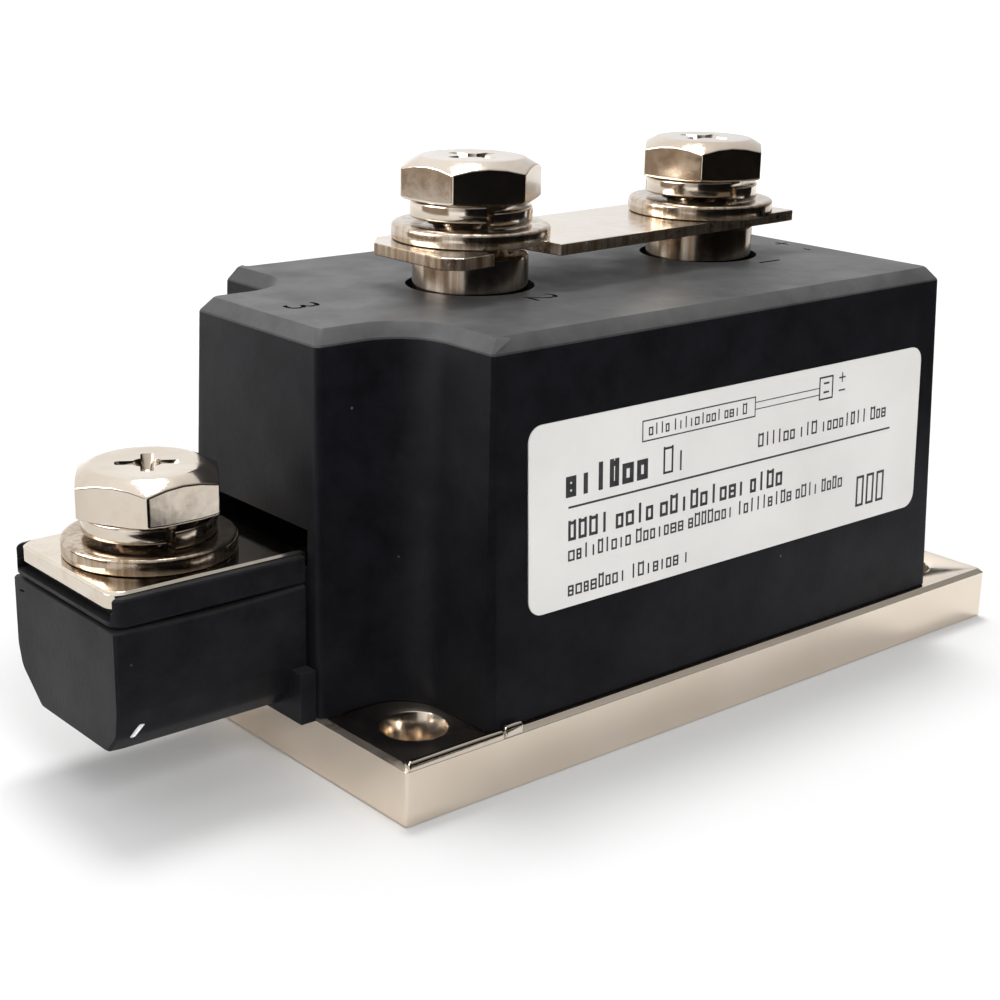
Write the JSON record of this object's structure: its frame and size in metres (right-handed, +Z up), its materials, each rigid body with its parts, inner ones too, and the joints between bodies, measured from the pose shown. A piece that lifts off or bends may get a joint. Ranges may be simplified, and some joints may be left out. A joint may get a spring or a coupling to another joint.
{
  "type": "solid state relay",
  "caption": "Power-module solid state relay: black case on a nickelled plate, load terminals with hex screws and washers, link bar, label and a control socket.",
  "frame": {"origin": "centre of the base plate's underside, the face that lies on the heatsink", "axes": "+X along the plate towards the control socket, -Y towards the side that bears the label, +Z up away from the heatsink"},
  "size_m": [0.1334, 0.06, 0.0696],
  "materials": {
    "black_plastic": "fine-grained moulding, satin",
    "plate_nickel": "nickel-plated copper, fine sawn grain on the edges",
    "bright_nickel": "bright nickel plating over copper",
    "screw_nickel": "bright nickel plating, lightly handled",
    "label_stock": "satin film label with printed marks",
    "zinc_steel": "zinc-plated steel",
    "spring_steel": "dark phosphated spring steel",
    "ceramic": "unglazed alumina",
    "contact_disc": "lapped molybdenum",
    "silicon": "polished wafer with a sealed bevel",
    "amber_plastic": "pressed insulating compound",
    "lead_insulation": "smooth lead insulation",
    "circuit_board": "green solder mask",
    "chip_plastic": "moulded package",
    "capacitor_can": "sleeved can",
    "socket_plastic": "natural nylon",
    "brass": "tinned at the tip, plain brass"
  },
  "bodies": {
    "case": {"base_plate": "plate_nickel", "housing": "black_plastic", "terminal_block": "black_plastic", "terminal_rim": "black_plastic", "busbar": "bright_nickel", "captive_nut": "zinc_steel", "link_bar": "bright_nickel", "label": "label_stock", "ceramic_tile_1": "ceramic", "lower_contact_disc_1": "contact_disc", "thyristor_1": "silicon", "upper_contact_disc_1": "contact_disc", "terminal_post_1": "bright_nickel", "insulating_ring_1": "amber_plastic", "disc_spring_1": "spring_steel", "pressure_plate_1": "zinc_steel", "gate_lead_1": "lead_insulation", "ceramic_tile_2": "ceramic", "lower_contact_disc_2": "contact_disc", "thyristor_2": "silicon", "upper_contact_disc_2": "contact_disc", "terminal_post_2": "bright_nickel", "insulating_ring_2": "amber_plastic", "disc_spring_2": "spring_steel", "pressure_plate_2": "zinc_steel", "gate_lead_2": "lead_insulation", "clamp_screw_1": "zinc_steel", "clamp_screw_2": "zinc_steel", "clamp_screw_3": "zinc_steel", "clamp_screw_4": "zinc_steel", "control_board": "circuit_board", "board_spacer_1": "black_plastic", "board_spacer_2": "black_plastic", "board_spacer_3": "black_plastic", "board_spacer_4": "black_plastic", "optocoupler_1": "chip_plastic", "optocoupler_2": "chip_plastic", "input_capacitor": "capacitor_can", "control_socket": "socket_plastic", "control_pin_minus": "brass", "control_pin_plus": "brass"},
    "washers_1": {"flat_washer_1": "screw_nickel", "spring_washer_1": "screw_nickel"},
    "screw_1": {"terminal_screw_1": "screw_nickel"},
    "washers_2": {"flat_washer_2": "screw_nickel", "spring_washer_2": "screw_nickel"},
    "screw_2": {"terminal_screw_2": "screw_nickel"},
    "washers_3": {"flat_washer_3": "screw_nickel", "spring_washer_3": "screw_nickel"},
    "screw_3": {"terminal_screw_3": "screw_nickel"}
  },
  "joints": [
    {"name": "screw_1_lift", "type": "slide", "parent": "case", "child": "washers_1", "axis": [0, 0, 1], "range_m": [0, 0.01355]},
    {"name": "screw_1_turn", "type": "hinge", "parent": "washers_1", "child": "screw_1", "pos_m": [0.0205, 0, 0.06], "axis": [0, 0, 1], "range_deg": [0, 3240]},
    {"name": "screw_2_lift", "type": "slide", "parent": "case", "child": "washers_2", "axis": [0, 0, 1], "range_m": [0, 0.01355]},
    {"name": "screw_2_turn", "type": "hinge", "parent": "washers_2", "child": "screw_2", "pos_m": [-0.0211, 0, 0.06], "axis": [0, 0, 1], "range_deg": [0, 3240]},
    {"name": "screw_3_lift", "type": "slide", "parent": "case", "child": "washers_3", "axis": [0, 0, 1], "range_m": [0, 0.01055]},
    {"name": "screw_3_turn", "type": "hinge", "parent": "washers_3", "child": "screw_3", "pos_m": [-0.068, 0, 0.034], "axis": [0, 0, 1], "range_deg": [0, 2520]}
  ],
  "couplings": [
    {"joint": "screw_1_lift", "follows": "screw_1_turn", "m_per_rad": 0.00023873},
    {"joint": "screw_2_lift", "follows": "screw_2_turn", "m_per_rad": 0.00023873},
    {"joint": "screw_3_lift", "follows": "screw_3_turn", "m_per_rad": 0.00023873}
  ]
}
